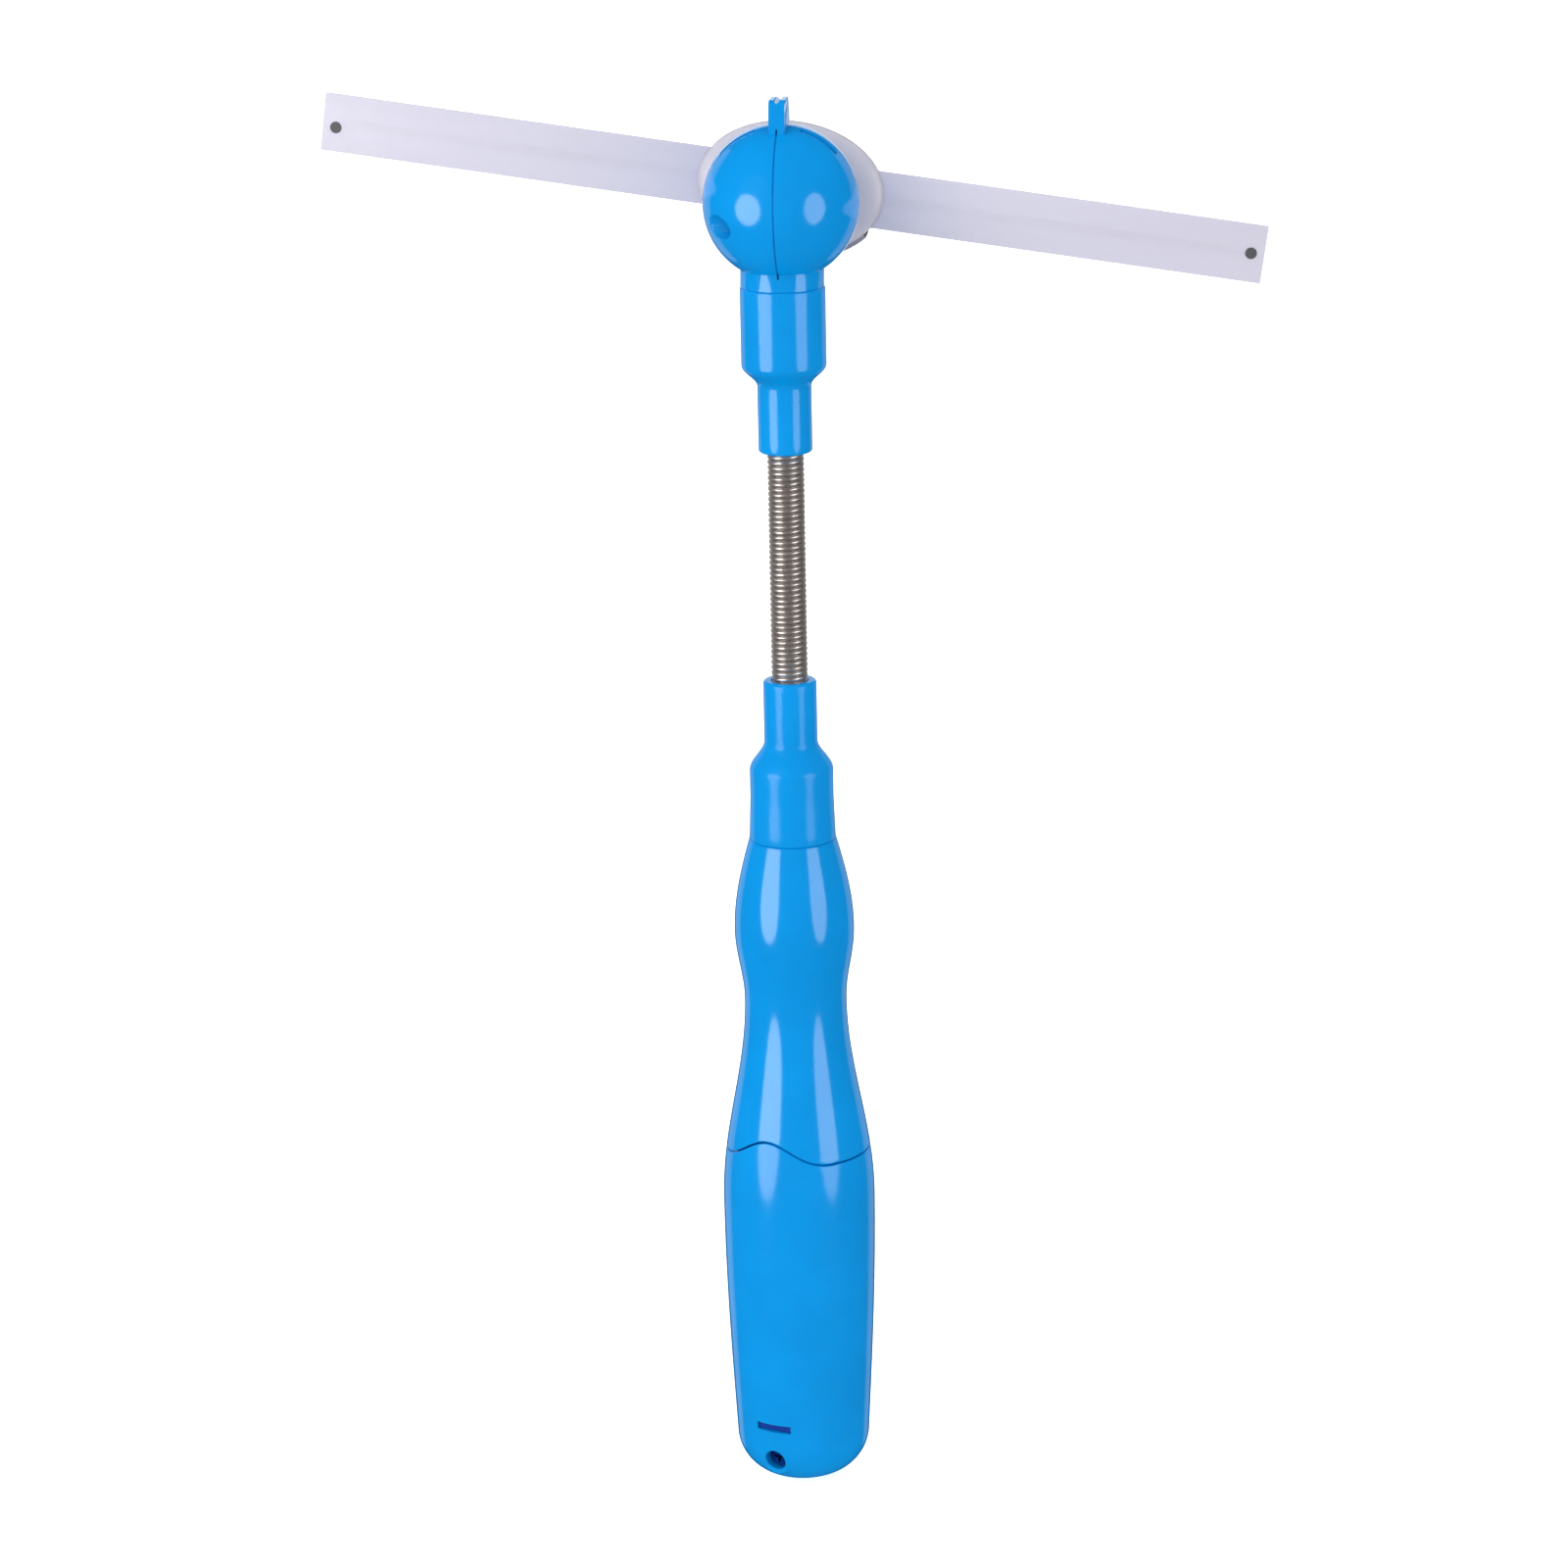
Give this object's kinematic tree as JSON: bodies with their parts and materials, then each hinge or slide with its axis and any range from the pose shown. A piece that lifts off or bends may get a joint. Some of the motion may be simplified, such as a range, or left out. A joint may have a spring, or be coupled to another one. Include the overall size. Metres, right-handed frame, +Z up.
{
  "type": "light-up windmill wand",
  "caption": "Hand-held toy windmill: a battery handle, a flexible spring neck, and a motor ball head that spins an oval hub with two flat strips and tip lights.",
  "frame": {"origin": "centre of the flat under the handle", "axes": "+Z up the handle and neck, +Y towards the rotor, +X along the strips' lower end"},
  "size_m": [0.2466, 0.0592, 0.3751],
  "materials": {
    "blue_moulding": "gloss",
    "milky_moulding": "milky gloss",
    "milky_strip": "milky satin",
    "white_button": "gloss",
    "clear_lamp": "clear",
    "grey_lamp_back": "satin",
    "spring_steel": "bright wire",
    "screw_steel": "zinc",
    "pale_plastic": "satin",
    "cell_sleeve": "gloss",
    "nickel_contact": "bright",
    "board_green": "satin",
    "black_plastic": "satin",
    "wire_sleeve": "satin",
    "motor_steel": "plated",
    "magnet_grey": "matte",
    "copper": "bright"
  },
  "bodies": {
    "handle": {"handle_body": "blue_moulding", "battery_cover": "blue_moulding", "cover_screw": "screw_steel", "battery_frame": "blue_moulding", "battery_cell_1": "cell_sleeve", "battery_cell_2": "cell_sleeve", "battery_cell_3": "cell_sleeve", "lower_contacts": "nickel_contact", "upper_contacts": "nickel_contact", "frame_screws": "screw_steel", "control_board": "board_green", "board_screws": "screw_steel", "switch_body": "black_plastic", "handle_collar": "blue_moulding", "spring_foot": "spring_steel", "neck_wires": "wire_sleeve"},
    "button": {"power_button": "white_button", "switch_plunger": "pale_plastic"},
    "neck_1": {"neck_link_1": "spring_steel"},
    "neck_2": {"neck_link_2": "spring_steel"},
    "neck_3": {"neck_link_3": "spring_steel"},
    "neck_4": {"neck_link_4": "spring_steel"},
    "neck_5": {"neck_link_5": "spring_steel"},
    "head": {"spring_head": "spring_steel", "head_collar": "blue_moulding", "head_shell_left": "blue_moulding", "head_shell_right": "blue_moulding", "head_screws": "screw_steel", "motor_can": "motor_steel", "motor_magnets": "magnet_grey", "motor_end_cap": "pale_plastic", "brush_carrier": "black_plastic", "contact_brushes": "copper"},
    "rotor": {"motor_armature": "copper", "motor_shaft": "motor_steel", "drive_hub": "pale_plastic", "led_board": "board_green", "slip_rings": "copper", "hub_leds": "clear_lamp", "blade_clamp": "pale_plastic", "clamp_screws": "screw_steel", "blade_left": "milky_strip", "blade_right": "milky_strip", "tip_led_left": "grey_lamp_back", "tip_led_right": "grey_lamp_back", "blade_wires": "copper", "rotor_back_shell": "milky_moulding", "rotor_dome": "milky_moulding", "hub_screw": "screw_steel"}
  },
  "joints": [
    {"name": "button_press", "type": "slide", "parent": "handle", "child": "button", "axis": [-0.3584, -0.9336, 0], "range_m": [0, 0.0009], "stiffness_N_per_m": 1500},
    {"name": "neck_nod", "type": "hinge", "parent": "handle", "child": "neck_1", "pos_m": [0, 0, 0.22857], "axis": [1, 0, 0], "range_deg": [-10, 12], "stiffness_Nm_per_rad": 1, "deforming": ["neck_wires"]},
    {"name": "neck_lean", "type": "hinge", "parent": "neck_1", "child": "neck_2", "pos_m": [0, 0, 0.2387], "axis": [0, 1, 0], "range_deg": [-12, 12], "stiffness_Nm_per_rad": 1},
    {"name": "neck_nod_2", "type": "hinge", "parent": "neck_2", "child": "neck_3", "pos_m": [0, 0, 0.24883], "axis": [1, 0, 0], "range_deg": [-10, 12], "stiffness_Nm_per_rad": 1},
    {"name": "neck_lean_2", "type": "hinge", "parent": "neck_3", "child": "neck_4", "pos_m": [0, 0, 0.25897], "axis": [0, 1, 0], "range_deg": [-12, 12], "stiffness_Nm_per_rad": 1},
    {"name": "neck_nod_3", "type": "hinge", "parent": "neck_4", "child": "neck_5", "pos_m": [0, 0, 0.2691], "axis": [1, 0, 0], "range_deg": [-10, 12], "stiffness_Nm_per_rad": 1},
    {"name": "neck_lean_3", "type": "hinge", "parent": "neck_5", "child": "head", "pos_m": [0, 0, 0.27923], "axis": [0, 1, 0], "range_deg": [-12, 12], "stiffness_Nm_per_rad": 1},
    {"name": "rotor_spin", "type": "hinge", "parent": "head", "child": "rotor", "pos_m": [0, 0, 0.3486], "axis": [0, 1, 0], "continuous": true}
  ],
  "couplings": [
    {"joint": "neck_nod_2", "follows": "neck_nod", "ratio": 1},
    {"joint": "neck_nod_3", "follows": "neck_nod", "ratio": 1},
    {"joint": "neck_lean_2", "follows": "neck_lean", "ratio": 1},
    {"joint": "neck_lean_3", "follows": "neck_lean", "ratio": 1}
  ]
}
